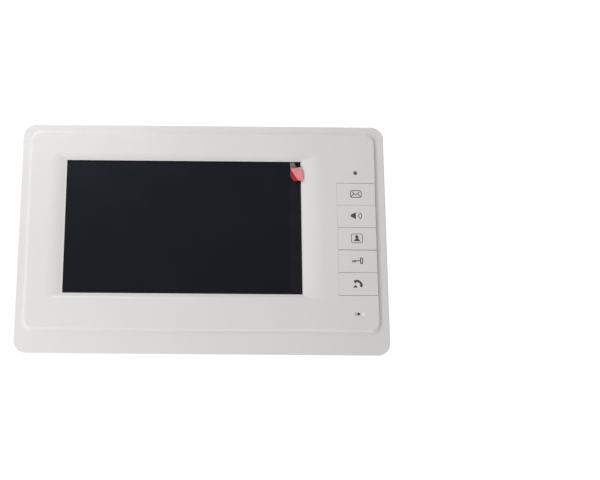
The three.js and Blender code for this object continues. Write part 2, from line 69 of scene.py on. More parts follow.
COVER_LOW, COVER_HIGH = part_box("front_cover")
FACE_Y = COVER_LOW.y                        # front face of the raised panel
SKIRT_Y = COVER_HIGH.y                      # back edge of the front cover
FLANGE_Y = FACE_Y + 1.8 * MM                # front face of the flange
BODY = {"x": 0.0, "z": 0.0, "w": COVER_HIGH.x - COVER_LOW.x, "h": COVER_HIGH.z - COVER_LOW.z,
        "r": 8 * MM}
SKIRT_EDGE = 0.3 * MM                       # chamfer of the cover's back edge
FLANGE_EDGE = 0.6 * MM                      # rounding of the flange's outer edge
FLANGE_WALL = 2 * MM                        # thickness of the flange
SKIRT_WALL = 2.2 * MM                       # thickness of the cover's side wall

KEY_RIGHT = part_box("talk_key_cap")[1].x     # the keys' right ends are part of the panel's edge
PANEL = {"x": 0.0, "z": 4.45 * MM, "w": 2 * KEY_RIGHT, "h": 127.2 * MM, "r": 5 * MM}
PANEL_WALL = 2 * MM                         # thickness of the panel's face
PANEL_SIDE_WALL = 1.5 * MM
FILLET = 4 * MM                             # width of the hollow slope at the panel's foot
FILLET_POWER = 3.6                          # how late the slope rises
FILLET_STEPS = 16
FILLET_LEAN = 0.06 * MM                     # the slope ends this far outside and below the edge
PANEL_EDGE = 0.02 * MM                      # a last narrow step that keeps the edge crisp
PANEL_BEVEL = 0.05 * MM

FILM_LOW, FILM_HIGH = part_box("screen_film")
FILM_INSET = 1 * MM                         # the film stops this far inside the screen opening
SCREEN_LEFT = FILM_LOW.x - FILM_INSET
SCREEN_BOTTOM = FILM_LOW.z - FILM_INSET
SCREEN_W = 155 * MM
SCREEN_H = FILM_HIGH.z + FILM_INSET - SCREEN_BOTTOM
SCREEN = {"x": SCREEN_LEFT + SCREEN_W / 2, "z": SCREEN_BOTTOM + SCREEN_H / 2,
          "w": SCREEN_W, "h": SCREEN_H, "r": 0.4 * MM}
RECESS = {"left": 10.5 * MM, "right": 13.5 * MM, "top": 4.3 * MM, "bottom": 3.8 * MM,
          "depth": 1.9 * MM, "corner": 2.5 * MM}
RECESS_STEPS = 16
LAND = 0.7 * MM                             # flat rim between the slope and the screen
LIP_ROUND = 0.1 * MM                        # rounding of the rim's inner edge
LIP_BACK_Y = FACE_Y + 2.7 * MM
LIP_REACH = 9 * MM                          # how far the thick rim reaches behind the panel

KEY_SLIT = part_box("message_key_cap")[0].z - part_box("volume_key_cap")[1].z
KEY_GAPS = [gap * MM for gap in (0.22, 0.11, 0.2, 0.34, 0.2, 0.22)]     # the slits, from the top
KEY_SIDE_GAP = 0.09 * MM
KEY_FLANGE = 1.2 * MM                       # hidden flange at each cap's left
KEY_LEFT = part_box("volume_key_cap")[0].x + KEY_FLANGE
KEY_CORNER = 0.2 * MM
KEY_EDGE = 0.12 * MM                        # rounding of the caps' front edges
KEY_SET_BACK = 0.03 * MM                    # the caps sit a hair behind the panel's face
KEY_BACK_Y = FACE_Y + 2.5 * MM
KEY_FLANGE_Y = FACE_Y + 2.15 * MM
SYMBOL_LIFT = 0.02 * MM                     # the ink lies this far in front of the cap

WHEEL_THICK = 2.3 * MM
WHEEL_RIBS = 48
WHEEL_RIB_DEPTH = 0.45 * MM
WHEEL_SHAFT_R = 1.4 * MM

BUTTON_X, MIC_Z = middle_of("microphone")   # the x is the centre line of the symbols too
LED_Z = middle_of("indicator_light_guide")[1]
LED_HOLE_R = 1.3 * MM
LENS_R = 1.15 * MM
MIC_HOLE_R = 0.8 * MM
MIC_DISH_DEPTH = 1.1 * MM
MIC_DISH_STEPS = 10


def key_edge(index):
    """The height of the line between two keys: 0 is above the first and 5 is below the last."""
    if index < len(KEYS):
        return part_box(KEYS[index] + "_cap")[1].z + KEY_SLIT / 2
    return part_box(KEYS[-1] + "_cap")[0].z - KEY_SLIT / 2


# ------------------------------------------------------------------ mesh helpers

QUARTERS = [(1, 1), (-1, 1), (-1, -1), (1, -1)]     # signs of the corners, anticlockwise
LEAST_CORNER = 0.15 * MM
WELD_DISTANCE = 1e-6
BEVEL_SEGMENTS = 2
BEVEL_ANGLE = math.radians(30)
SHARP_ANGLE = 32                            # degrees; shallower edges are shaded smooth


def grown(section, by):
    """A section moved outwards by a distance on every side."""
    return dict(section, w=section["w"] + 2 * by, h=section["h"] + 2 * by,
                r=max(section["r"] + by, LEAST_CORNER))


def between(a, b, t):
    """The section a fraction t of the way from a to b."""
    return {key: a[key] + (b[key] - a[key]) * t for key in a}


def quarter_turn(steps, first=0):
    """Angles from 0 to 90 degrees in even steps, for rounded edges and domes."""
    return [math.pi / 2 * step / steps for step in range(first, steps + 1)]


def ring(section, y, steps):
    """Points round a section in the plane y, anticlockwise in x and z."""
    points = []
    for index, (sx, sz) in enumerate(QUARTERS):
        cx = section["x"] + sx * (section["w"] / 2 - section["r"])
        cz = section["z"] + sz * (section["h"] / 2 - section["r"])
        for step in range(steps + 1):
            angle = (index + step / steps) * math.pi / 2
            points.append((cx + section["r"] * math.cos(angle), y,
                           cz + section["r"] * math.sin(angle)))
    return points


def mesh_object(name, points, faces):
    """A new object whose faces all point outwards."""
    mesh = bpy.data.meshes.new(name)
    mesh.from_pydata([tuple(point) for point in points], [], faces)
    obj = bpy.data.objects.new(name, mesh)
    bpy.context.scene.collection.objects.link(obj)
    rework(obj)
    return obj


def rework(obj, change=None):
    """Makes a change to obj's mesh, if one is given, and turns all its faces outwards."""
    work = bmesh.new()
    work.from_mesh(obj.data)
    if change:
        change(work)
    bmesh.ops.recalc_face_normals(work, faces=work.faces)
    work.to_mesh(obj.data)
    work.free()


def weld(obj):
    """Joins points that coincide and drops what has no size."""
    def change(work):
        bmesh.ops.remove_doubles(work, verts=work.verts, dist=WELD_DISTANCE)
        bmesh.ops.dissolve_degenerate(work, edges=work.edges, dist=WELD_DISTANCE)

    rework(obj, change)


def skin(name, sections, steps=12, closed=False):
    """A surface over [(section, y), ...]. If closed, the last joins the first."""
    points = []
    for section, y in sections:
        points += ring(section, y, steps)
    count = 4 * (steps + 1)
    faces = []
    spans = len(sections) if closed else len(sections) - 1
    for span in range(spans):
        low = span * count
        high = ((span + 1) % len(sections)) * count
        for i in range(count):
            j = (i + 1) % count
            faces.append((low + i, low + j, high + j, high + i))
    if not closed:
        faces.append(tuple(range(count)))
        faces.append(tuple(range(len(points) - count, len(points))))
    return mesh_object(name, points, faces)


def turned(name, profile, x, z, segments=48):
    """A solid turned about the line along Y through (x, z). The profile is [(radius, y), ...]."""
    points = []
    faces = []
    for i in range(segments):
        angle = 2 * math.pi * i / segments
        for radius, y in profile:
            points.append((x + radius * math.cos(angle), y, z + radius * math.sin(angle)))
    count = len(profile)
    for i in range(segments):
        here, there = i * count, ((i + 1) % segments) * count
        for k in range(count):
            m = (k + 1) % count
            faces.append((here + k, here + m, there + m, there + k))
    obj = mesh_object(name, points, faces)
    weld(obj)
    return obj


def block(name, low, high):
    """A box between two corners, used as a cutter or joined into a larger mesh."""
    points = [(x, y, z)
              for x in (low[0], high[0]) for y in (low[1], high[1]) for z in (low[2], high[2])]
    faces = [(0, 1, 3, 2), (4, 6, 7, 5), (0, 4, 5, 1), (2, 3, 7, 6), (0, 2, 6, 4), (1, 5, 7, 3)]
    return mesh_object(name, points, faces)


def combine(obj, tools, operation):
    """Cuts the tools from obj, or joins them to it, one at a time, and removes them."""
    for tool in tools:
        modifier = obj.modifiers.new("combine", "BOOLEAN")
        modifier.operation = operation
        modifier.solver = "EXACT"
        modifier.object = tool
        bake_modifiers(obj)
        bpy.data.objects.remove(tool)


def bake_modifiers(obj):
    """Applies obj's modifiers to its mesh."""
    bpy.context.view_layer.update()
    graph = bpy.context.evaluated_depsgraph_get()
    mesh = bpy.data.meshes.new_from_object(obj.evaluated_get(graph))
    obj.modifiers.clear()
    obj.data = mesh


def smooth(obj, sharp_angle=SHARP_ANGLE):
    """Shades obj smooth, keeps edges sharper than the angle crisp and flat faces flat."""
    obj.data.shade_smooth()
    obj.data.set_sharp_from_angle(angle=math.radians(sharp_angle))
    modifier = obj.modifiers.new("flat faces", "WEIGHTED_NORMAL")
    modifier.keep_sharp = True
    modifier.weight = 80


def soften(obj, width):
    """Rounds every edge of obj that turns sharply."""
    modifier = obj.modifiers.new("soft edges", "BEVEL")
    modifier.width = width
    modifier.segments = BEVEL_SEGMENTS
    modifier.limit_method = "ANGLE"
    modifier.angle_limit = BEVEL_ANGLE
    bake_modifiers(obj)


def body_of_node(node):
    for body, members in frame["record"]["behaviour"]["bodies"].items():
        if node in members:
            return body
    raise ValueError(f"no body holds {node}")


def stand_for(obj, node, material):
    """obj takes the place of a CAD node: its body and its material."""
    obj.data.materials.clear()
    obj.data.materials.append(material)
    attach(obj, body_of_node(node))
    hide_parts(node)


def detail(obj, body, slot, material):
    """obj is a small piece with no CAD node of its own."""
    obj.data.materials.clear()
    obj.data.materials.append(material)
    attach(obj, body)


def refined(node, material, width):
    """The CAD node's own shape, its edges softly rounded if a width is given."""
    def merge(work):
        bmesh.ops.remove_doubles(work, verts=work.verts, dist=2 * WELD_DISTANCE)
        bmesh.ops.dissolve_limit(work, angle_limit=math.radians(1), verts=work.verts,
                                 edges=work.edges)

    source = frame["nodes"][node]
    obj = bpy.data.objects.new(node + "_fine", source.data.copy())
    bpy.context.scene.collection.objects.link(obj)
    rework(obj, merge)
    if width:
        soften(obj, width)
        weld(obj)
    smooth(obj)
    stand_for(obj, node, material)


# ------------------------------------------------------------------ materials

NOISE_LOW, NOISE_HIGH = 0.3, 0.7            # the range that a noise texture mostly keeps to
MOULD_GRAIN = 2200                          # features per metre of a spark-eroded mould
EVEN = (1, 1, 1)                            # how a noise texture is squeezed along X, Y and Z
LEVEL_STREAKS = (1, 1, 40)
CROSSWISE_STREAKS = (1, 20, 1)


def new_material(name, color, roughness, metallic=0.0, specular=0.5):
    material = bpy.data.materials.new(name)
    material.use_nodes = True
    shader = material.node_tree.nodes["Principled BSDF"]
    shader.inputs["Base Color"].default_value = (*color, 1)
    shader.inputs["Roughness"].default_value = roughness
    shader.inputs["Metallic"].default_value = metallic
    shader.inputs["Specular IOR Level"].default_value = specular
    return material, material.node_tree, shader


def noise(tree, scale, detail=3.0, stretch=EVEN):
    """A noise texture in object space. Scale is in features per metre."""
    place = tree.nodes.new("ShaderNodeTexCoord")
    mapping = tree.nodes.new("ShaderNodeMapping")
    mapping.inputs["Scale"].default_value = stretch
    texture = tree.nodes.new("ShaderNodeTexNoise")
    texture.inputs["Scale"].default_value = scale
    texture.inputs["Detail"].default_value = detail
    tree.links.new(place.outputs["Object"], mapping.inputs["Vector"])
    tree.links.new(mapping.outputs["Vector"], texture.inputs["Vector"])
    return texture.outputs["Fac"]


def map_range(tree, value, given, wanted):
    """A number moved from one range to another, each a pair (from, to)."""
    ramp = tree.nodes.new("ShaderNodeMapRange")
    ramp.inputs["From Min"].default_value, ramp.inputs["From Max"].default_value = given
    ramp.inputs["To Min"].default_value, ramp.inputs["To Max"].default_value = wanted
    tree.links.new(value, ramp.inputs["Value"])
    return ramp.outputs["Result"]


def vary(tree, factor, low, high, socket):
    """Drives a number on the shader from a texture, between two values."""
    tree.links.new(map_range(tree, factor, (NOISE_LOW, NOISE_HIGH), (low, high)), socket)


def tint(tree, factor, low, high, socket):
    """Drives a colour on the shader from a texture, between two colours."""
    ramp = tree.nodes.new("ShaderNodeValToRGB")
    dark, light = ramp.color_ramp.elements
    dark.position, light.position = NOISE_LOW, NOISE_HIGH
    dark.color, light.color = (*low, 1), (*high, 1)
    tree.links.new(factor, ramp.inputs["Fac"])
    tree.links.new(ramp.outputs["Color"], socket)


def grain(tree, factor, depth, shader):
    """Raises the surface by a texture, with its depth in metres."""
    bump = tree.nodes.new("ShaderNodeBump")
    bump.inputs["Strength"].default_value = 1.0
    bump.inputs["Distance"].default_value = depth
    tree.links.new(factor, bump.inputs["Height"])
    tree.links.new(bump.outputs["Normal"], shader.inputs["Normal"])


def shade(color, factor):
    return tuple(channel * factor for channel in color)


def plastic(name, color, roughness, grain_depth=3e-6, mottle=0.015):
    """Moulded plastic: a fine spark-eroded grain, and a very slight drift of tone and gloss."""
    material, tree, shader = new_material(name, color, roughness)
    tint(tree, noise(tree, 18), shade(color, 1 - mottle), shade(color, 1 + mottle),
         shader.inputs["Base Color"])
    vary(tree, noise(tree, 60), roughness - 0.04, roughness + 0.04, shader.inputs["Roughness"])
    grain(tree, noise(tree, MOULD_GRAIN, detail=2), grain_depth, shader)
    return material


def sheet_metal(name, color, roughness, stretch=LEVEL_STREAKS):
    """Rolled, drawn or plated metal with fine streaks."""
    material, tree, shader = new_material(name, color, roughness, metallic=1.0)
    streaks = noise(tree, 120, detail=5, stretch=stretch)
    tint(tree, streaks, shade(color, 0.88), shade(color, 1.08), shader.inputs["Base Color"])
    vary(tree, noise(tree, 300, detail=4, stretch=stretch), roughness - 0.08, roughness + 0.1,
         shader.inputs["Roughness"])
    grain(tree, streaks, 2e-6, shader)
    return material


def circuit_board():
    """Green solder resist over copper pours: broad patches, with the glass weave just showing."""
    color = (0.012, 0.13, 0.05)
    material, tree, shader = new_material("circuit board", color, 0.35)
    pours = noise(tree, 160, detail=1.0)
    tint(tree, pours, shade(color, 0.75), shade(color, 1.35), shader.inputs["Base Color"])
    vary(tree, noise(tree, 900), 0.3, 0.45, shader.inputs["Roughness"])
    grain(tree, noise(tree, 1500, detail=1.0), 4e-6, shader)
    return material


def dark_glass():
    """The front polariser of the display: almost black, with faint purple patches."""
    low, high = (0.0105, 0.0118, 0.0135), (0.018, 0.0138, 0.02)
    material, tree, shader = new_material("screen glass", low, 0.18, specular=0.3)
    tint(tree, noise(tree, 110), low, high, shader.inputs["Base Color"])
    vary(tree, noise(tree, 90), 0.16, 0.2, shader.inputs["Roughness"])
    return material


def film():
    """Protective film lying on the screen: it adds a thin bluish haze."""
    color = (0.0062, 0.0088, 0.0134)
    material, tree, shader = new_material("clear film", color, 0.3, specular=0.3)
    tint(tree, noise(tree, 12), shade(color, 0.96), shade(color, 1.04), shader.inputs["Base Color"])
    vary(tree, noise(tree, 40), 0.28, 0.33, shader.inputs["Roughness"])
    grain(tree, noise(tree, 35, detail=1.0), 4e-6, shader)
    return material


def coloured_film(name, low, high, roughness):
    """Thin coloured film, slightly uneven where it is creased."""
    material, tree, shader = new_material(name, high, roughness, specular=0.25)
    tint(tree, noise(tree, 260, detail=2), low, high, shader.inputs["Base Color"])
    grain(tree, noise(tree, 420, detail=2), 6e-5, shader)
    return material


def ribbed_cable(name, color, pitch):
    """Ribbon cable: parallel cores show as ribs along its length, raised by a bump, with painted
    shade darkening the grooves between them.
    """
    material, tree, shader = new_material(name, color, 0.45)
    place = tree.nodes.new("ShaderNodeTexCoord")
    wave = tree.nodes.new("ShaderNodeTexWave")
    wave.bands_direction = "Z"
    wave.inputs["Scale"].default_value = 1 / pitch / 2
    tree.links.new(place.outputs["Object"], wave.inputs["Vector"])
    # painted shade: the grooves between the cores are darker
    tint(tree, wave.outputs["Fac"], shade(color, 0.6), color, shader.inputs["Base Color"])
    grain(tree, wave.outputs["Fac"], 1e-4, shader)
    return material


def paper(name, color):
    """Pressed paper: fibrous and dull."""
    material, tree, shader = new_material(name, color, 0.9, specular=0.2)
    fibres = noise(tree, 1400, detail=6, stretch=(1, 1, 3))
    tint(tree, fibres, shade(color, 0.6), shade(color, 1.5), shader.inputs["Base Color"])
    grain(tree, fibres, 3e-5, shader)
    return material


M_COVER = plastic("cover plastic", (0.765, 0.756, 0.742), 0.42)
M_KEY = plastic("key plastic", (0.763, 0.752, 0.728), 0.4)
M_WHEEL = plastic("wheel plastic", (0.42, 0.42, 0.41), 0.45)
M_BLACK = plastic("black plastic", (0.014, 0.014, 0.015), 0.45, mottle=0.1)
M_CREAM = plastic("cream plastic", (0.74, 0.69, 0.55), 0.45)
M_DIFFUSER = plastic("diffuser", (0.85, 0.85, 0.82), 0.6)
M_LENS = plastic("indicator lens", (0.12, 0.123, 0.127), 0.2, mottle=0.08)
M_PRINT = plastic("symbol ink", (0.07, 0.07, 0.07), 0.55, mottle=0.15)
M_PRINT_FINE = plastic("fine symbol ink", (0.018, 0.018, 0.018), 0.55, mottle=0.15)
M_PRINT_LIGHT = plastic("thin symbol ink", (0.06, 0.06, 0.06), 0.55, mottle=0.1)
# the screen's border: partly its printed black mask, partly painted shade for the gap under the
# cover's rim
M_BORDER_AND_RIM_SHADE = plastic("black border and painted rim shade", (0.0022, 0.0022, 0.0024), 0.5, mottle=0.15)
M_RUBBER = plastic("black rubber", (0.02, 0.02, 0.02), 0.8, grain_depth=2e-5, mottle=0.2)
# painted shade: a near-black plug that makes the microphone's hole read as dark
M_MIC_HOLE_SHADE = plastic("microphone hole painted shade", (0.002, 0.002, 0.002), 0.9, grain_depth=2e-5, mottle=0.2)
M_BRACKET = sheet_metal("bracket steel", (0.62, 0.63, 0.64), 0.38)
M_FRAME = sheet_metal("frame steel", (0.55, 0.56, 0.57), 0.32)
M_SCREW = sheet_metal("screw steel", (0.48, 0.48, 0.49), 0.3, stretch=EVEN)
M_BRASS = sheet_metal("pin brass", (0.72, 0.5, 0.2), 0.25, stretch=CROSSWISE_STREAKS)
M_BOARD = circuit_board()
M_GLASS = dark_glass()
M_FILM = film()
M_CLEAR = coloured_film("clear film strip", (0.1, 0.125, 0.09), (0.27, 0.19, 0.19), 0.3)
M_PINK = coloured_film("pink film", (0.72, 0.24, 0.27), (0.72, 0.3, 0.34), 0.35)
# painted highlight: the bright salmon line where the tab's bent crease catches the light
M_CREASE_HIGHLIGHT = coloured_film("pink film painted crease highlight", (0.98, 0.22, 0.19), (1.0, 0.3, 0.26), 0.35)
M_RED = coloured_film("red film", (0.3, 0.018, 0.03), (0.46, 0.03, 0.035), 0.4)
M_RIBBON = ribbed_cable("ribbon cable", (0.42, 0.42, 0.43), MM)
M_FLEX = plastic("amber flex", (0.45, 0.19, 0.035), 0.3, mottle=0.12)
M_CONE = paper("cone paper", (0.04, 0.035, 0.03))


# ------------------------------------------------------------------ front cover

CASE_BOSS_R, BOSS_R, BOSS_BORE_R = 3.6 * MM, 2.8 * MM, 1.7 * MM
PANEL_ROOT_Y = FACE_Y + 1.5 * MM            # where a boss starts, inside the panel's thickness
FLANGE_ROOT_Y = FACE_Y + 3.2 * MM           # the same, inside the flange's


def front_cover():
    """The tray, its raised panel and the sloped frame round the screen, as one closed skin."""
    sections = [(grown(BODY, -SKIRT_EDGE), SKIRT_Y), (BODY, SKIRT_Y - SKIRT_EDGE)]
    for turn in quarter_turn(6):
        sections.append((grown(BODY, -FLANGE_EDGE * (1 - math.cos(turn))),
                         FLANGE_Y + FLANGE_EDGE * (1 - math.sin(turn))))
    sections += panel_slope() + recess_slope()
    lip_y = FACE_Y + RECESS["depth"]
    sections += [
        (grown(SCREEN, LIP_ROUND), lip_y),
        (grown(SCREEN, 0.3 * LIP_ROUND), lip_y + 0.3 * LIP_ROUND),
        (SCREEN, lip_y + LIP_ROUND),
        (SCREEN, LIP_BACK_Y),
        (grown(SCREEN, LIP_REACH), LIP_BACK_Y),
        (grown(SCREEN, LIP_REACH), FACE_Y + PANEL_WALL),
        (grown(PANEL, -PANEL_SIDE_WALL), FACE_Y + PANEL_WALL),
        (grown(PANEL, -PANEL_SIDE_WALL), FLANGE_Y + FLANGE_WALL),
        (grown(BODY, -SKIRT_WALL), FLANGE_Y + FLANGE_WALL),
        (grown(BODY, -SKIRT_WALL), SKIRT_Y),
    ]
    cover = skin("front_cover_fine", sections, closed=True)
    holes = [round_hole(BUTTON_X, LED_Z, LED_HOLE_R), round_hole(BUTTON_X, MIC_Z, MIC_HOLE_R)]
    combine(cover, [key_window(), microphone_dish(), *holes], "DIFFERENCE")
    combine(cover, screw_bosses(), "UNION")
    smooth(cover)
    stand_for(cover, "front_cover", M_COVER)


def panel_slope():
    """The hollow slope from the flange up to the panel's edge, and the edge itself."""
    rise = FLANGE_Y - FACE_Y - FILLET_LEAN
    sections = []
    for step in range(FILLET_STEPS + 1):
        out = 1 - step / FILLET_STEPS
        sections.append((grown(PANEL, FILLET_LEAN + (FILLET - FILLET_LEAN) * out),
                         FLANGE_Y - rise * (1 - out) ** FILLET_POWER))
    return sections + [(grown(PANEL, PANEL_EDGE), FACE_Y + PANEL_EDGE),
                       (grown(PANEL, -PANEL_BEVEL), FACE_Y)]


def recess_slope():
    """The slope from the panel's face down to the flat rim of the screen."""
    land = grown(SCREEN, LAND)
    outer = {
        "x": SCREEN["x"] + (RECESS["right"] - RECESS["left"]) / 2,
        "z": SCREEN["z"] + (RECESS["top"] - RECESS["bottom"]) / 2,
        "w": SCREEN["w"] + RECESS["left"] + RECESS["right"],
        "h": SCREEN["h"] + RECESS["top"] + RECESS["bottom"],
        "r": RECESS["corner"],
    }
    sections = []
    for step in range(RECESS_STEPS + 1):
        out = 1 - step / RECESS_STEPS
        sections.append((between(land, outer, out), FACE_Y + RECESS["depth"] * (1 - out) ** 2))
    return sections


def key_window():
    """The cutter for the opening that the five keys fill. It runs out at the panel's right."""
    low = key_edge(len(KEYS)) - KEY_GAPS[-1] / 2
    high = key_edge(0) + KEY_GAPS[0] / 2
    return block("window", (KEY_LEFT - KEY_SIDE_GAP, FACE_Y - MM, low),
                 (KEY_RIGHT + 0.2 * MM, 0, high))


def round_hole(x, z, radius):
    """The cutter for a round hole through the panel's face."""
    front, back = FACE_Y - MM, LIP_BACK_Y
    return turned("hole", [(0, front), (radius, front), (radius, back), (0, back)], x, z)


def microphone_dish():
    """The cutter for a shallow boat-shaped dish that runs softly down to the microphone's hole."""
    outer = {"x": BUTTON_X + 0.6 * MM, "z": MIC_Z, "w": 7.4 * MM, "h": 3 * MM, "r": 1.49 * MM}
    inner = {"x": BUTTON_X, "z": MIC_Z, "w": 1.66 * MM, "h": 1.66 * MM, "r": 0.82 * MM}
    sections = [(outer, FACE_Y - MM)]
    for step in range(MIC_DISH_STEPS + 1):
        t = step / MIC_DISH_STEPS
        depth = MIC_DISH_DEPTH * (1 - math.cos(math.pi * t)) / 2
        sections.append((between(outer, inner, t), FACE_Y + depth))
    return skin("dish", sections)


def microphone_hole_shade():
    """The dark plug at the bottom of the microphone's hole: painted shade, standing in for the
    darkness deep in the hole.
    """
    radius = MIC_HOLE_R - 0.01 * MM
    front, back = FACE_Y + MIC_DISH_DEPTH + 0.05 * MM, FACE_Y + 1.9 * MM
    profile = [(0, front), (radius, front), (radius, back), (0, back)]
    obj = turned("microphone_hole_shade", profile, BUTTON_X, MIC_Z, segments=24)
    smooth(obj)
    detail(obj, "monitor", "black_rubber", M_MIC_HOLE_SHADE)


def screw_bosses():
    """Tubes behind the face that the screws bite into. The lowest start behind the flange."""
    bosses = []
    for name in screw_nodes():
        if name.startswith("main_board"):
            continue
        outer = CASE_BOSS_R if name.startswith("case") else BOSS_R
        x, z = middle_of(name)
        root = PANEL_ROOT_Y if z > SCREEN_BOTTOM - 20 * MM else FLANGE_ROOT_Y
        profile = [(BOSS_BORE_R, root), (outer, root), (outer, SKIRT_Y), (BOSS_BORE_R, SKIRT_Y)]
        bosses.append(turned("boss", profile, x, z, segments=32))
    return bosses


# ------------------------------------------------------------------ screen, film and pull tab

def thin_solid(name, outline, thickness):
    """A thin sheet over an outline of points, thickened towards +Y."""
    count = len(outline)
    front = [Vector(point) for point in outline]
    points = front + [point + Vector((0, thickness, 0)) for point in front]
    faces = [tuple(range(count)), tuple(reversed(range(count, 2 * count)))]
    faces += [(i, (i + 1) % count, count + (i + 1) % count, count + i) for i in range(count)]
    return mesh_object(name, points, faces)


def screen_film():
    """The film, cut square with slightly eased corners. Its lower edge leaves a bare line."""
    bottom = FILM_LOW.z + MM
    section = {"x": (FILM_LOW.x + FILM_HIGH.x) / 2, "z": (bottom + FILM_HIGH.z) / 2,
               "w": FILM_HIGH.x - FILM_LOW.x, "h": FILM_HIGH.z - bottom, "r": 0.5 * MM}
    obj = skin("screen_film_fine", [(section, FILM_HIGH.y), (section, FILM_LOW.y)], steps=4)
    smooth(obj)
    stand_for(obj, "screen_film", M_FILM)


def screen_border_and_rim_shade():
    """The display's printed black mask just inside the cover's rim, made darker than the glass:
    partly real print and partly painted shade, standing in for the shadow in the gap under the rim.
    """
    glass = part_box("lcd_panel")[0].y
    lift = 0.03 * MM
    front, back = glass - lift, glass + lift
    outer, inner = grown(SCREEN, 0.9 * MM), grown(SCREEN, -1.1 * MM)
    obj = skin("screen_border_and_rim_shade", [(outer, back), (outer, front), (inner, front), (inner, back)],
               steps=3, closed=True)
    smooth(obj)
    detail(obj, "monitor", "screen_glass", M_BORDER_AND_RIM_SHADE)


def pull_tab():
    """The film's folded pull tab: a pink face, a painted highlight along the crease, a dark fold
    and a clear strip above.

    Points are given in millimetres: right, up and forward of the tab's box.
    """
    low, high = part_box("film_pull_tab")
    thick, thin = 0.1 * MM, 0.08 * MM

    def sheet(name, outline, thickness):
        return thin_solid(name, [(low.x + x * MM, high.y - lift * MM, low.z + z * MM)
                                 for x, z, lift in outline], thickness)

    face = sheet("film_pull_tab_fine", [
        (0.6, 9.4, 0.7), (4.1, 9.9, 1.5), (7.8, 10.3, 2.3), (8.1, 6.8, 2.6), (8.8, 2.8, 2.6),
        (8.2, 1.6, 2.4), (7.0, 1.2, 2.2), (5.7, 1.1, 2.0), (5.1, 1.8, 1.8),
    ], thick)
    # a narrow strip along the crease, coloured as a painted highlight
    crease = sheet("pull_tab_crease_highlight", [
        (0.7, 9.35, 0.75), (1.6, 9.1, 0.95), (3.9, 5.3, 1.55), (5.9, 1.6, 2.1), (5.4, 1.2, 2.0),
        (3.2, 5.0, 1.4),
    ], thin)
    fold = sheet("pull_tab_fold", [
        (0.6, 9.0, 0.6), (0.4, 4.6, 0.35), (2.2, 1.9, 0.5), (3.3, 0.8, 0.8), (5.4, 1.2, 1.6),
        (6.0, 1.9, 1.65), (1.5, 9.2, 0.65),
    ], thick)
    strip = sheet("film_corner_strip", [
        (0.3, 14.9, 0.02), (2.8, 14.9, 0.02), (3.6, 12.6, 0.3), (4.7, 9.7, 0.95), (0.6, 9.2, 0.6),
    ], thin)
    stand_for(face, "film_pull_tab", M_PINK)
    detail(crease, "monitor", "red_film", M_CREASE_HIGHLIGHT)
    detail(fold, "monitor", "red_film", M_RED)
    detail(strip, "monitor", "clear_film", M_CLEAR)
    for obj in (face, crease, fold, strip):
        smooth(obj)


# ------------------------------------------------------------------ symbols on the keys

class Symbol:
    """Collects flat strokes and filled shapes, then makes one thin mesh of them.

    Shapes are given in millimetres about the symbol's middle. Each lies a touch in front of the
    one before, so that shapes may cross.
    """

    THICKNESS = 0.05 * MM
    STEP = 0.0025 * MM
    LEAST_MITRE = 0.4                       # keeps the mitre of a sharp corner short

    def __init__(self, name, x, z, y):
        self.name, self.x, self.z, self.y = name, x, z, y
        self.points, self.faces, self.layers = [], [], 0

    def _layer(self, flat, faces):
        """Adds a prism over a flat figure of faces on the points."""
        base, count = len(self.points), len(flat)
        front = -self.layers * self.STEP
        self.layers += 1
        for lift in (front, self.THICKNESS):
            self.points += [(self.x + px * MM, self.y + lift, self.z + pz * MM) for px, pz in flat]
        for face in faces:
            self.faces.append(tuple(base + i for i in face))
            self.faces.append(tuple(base + count + i for i in reversed(face)))
        edges = [edge for face in faces for edge in zip(face, face[1:] + face[:1])]
        for a, b in edges:
            if (b, a) not in edges:
                self.faces.append((base + a, base + b, base + count + b, base + count + a))

    def fill(self, outline):
        self._layer(outline, [tuple(range(len(outline)))])

    def stroke(self, path, width, closed=False):
        """A line of even width through the points, with mitred corners."""
        count = len(path)
        left, right = [], []
        for i, (px, pz) in enumerate(path):
            before = path[i - 1] if closed or i > 0 else None
            after = path[(i + 1) % count] if closed or i < count - 1 else None
            directions = []
            if before:
                directions.append((Vector((px, pz)) - Vector(before)).normalized())
            if after:
                directions.append((Vector(after) - Vector((px, pz))).normalized())
            along = sum(directions, Vector((0, 0))).normalized()
            across = Vector((-along.y, along.x))
            mitre = across.dot(Vector((-directions[0].y, directions[0].x)))
            offset = across * width / 2 * (1 / max(self.LEAST_MITRE, mitre))
            left.append((px + offset.x, pz + offset.y))
            right.append((px - offset.x, pz - offset.y))
        spans = count if closed else count - 1
        faces = [(i, (i + 1) % count, count + (i + 1) % count, count + i) for i in range(spans)]
        self._layer(left + right, faces)

    def build(self, body, material):
        obj = mesh_object(self.name, self.points, self.faces)
        detail(obj, body, "key_plastic", material)


def arc(cx, cz, rx, rz, start, end, steps=14):
    """Points along part of an ellipse, from one angle to the other in degrees."""
    points = []
    for step in range(steps + 1):
        angle = math.radians(start + (end - start) * step / steps)
        points.append((cx + rx * math.cos(angle), cz + rz * math.sin(angle)))
    return points


def rounded_frame(w, h, r):
    """Points round a rounded rectangle."""
    points = []
    for index, (sx, sz) in enumerate(QUARTERS):
        start = 90 * index
        points += arc(sx * (w / 2 - r), sz * (h / 2 - r), r, r, start, start + 90, steps=6)
    return points


def envelope(symbol):
    symbol.stroke(rounded_frame(7.1, 4.5, 1.1), 0.42, closed=True)
    symbol.stroke([(-2.4, 1.45), (-1.15, 0.25), (0, -0.6), (1.15, 0.25), (2.4, 1.45)], 0.46)
    symbol.stroke([(-3.15, -1.7), (-1.2, 0.15)], 0.46)
    symbol.stroke([(3.15, -1.7), (1.2, 0.15)], 0.46)


def loudspeaker(symbol):
    symbol.fill([(-3.6, -0.75), (-2.75, -0.95), (-0.55, -2.15), (-0.3, -2.1), (-0.3, 2.2),
                 (-0.55, 2.25), (-2.9, 1.05), (-3.6, 0.9)])


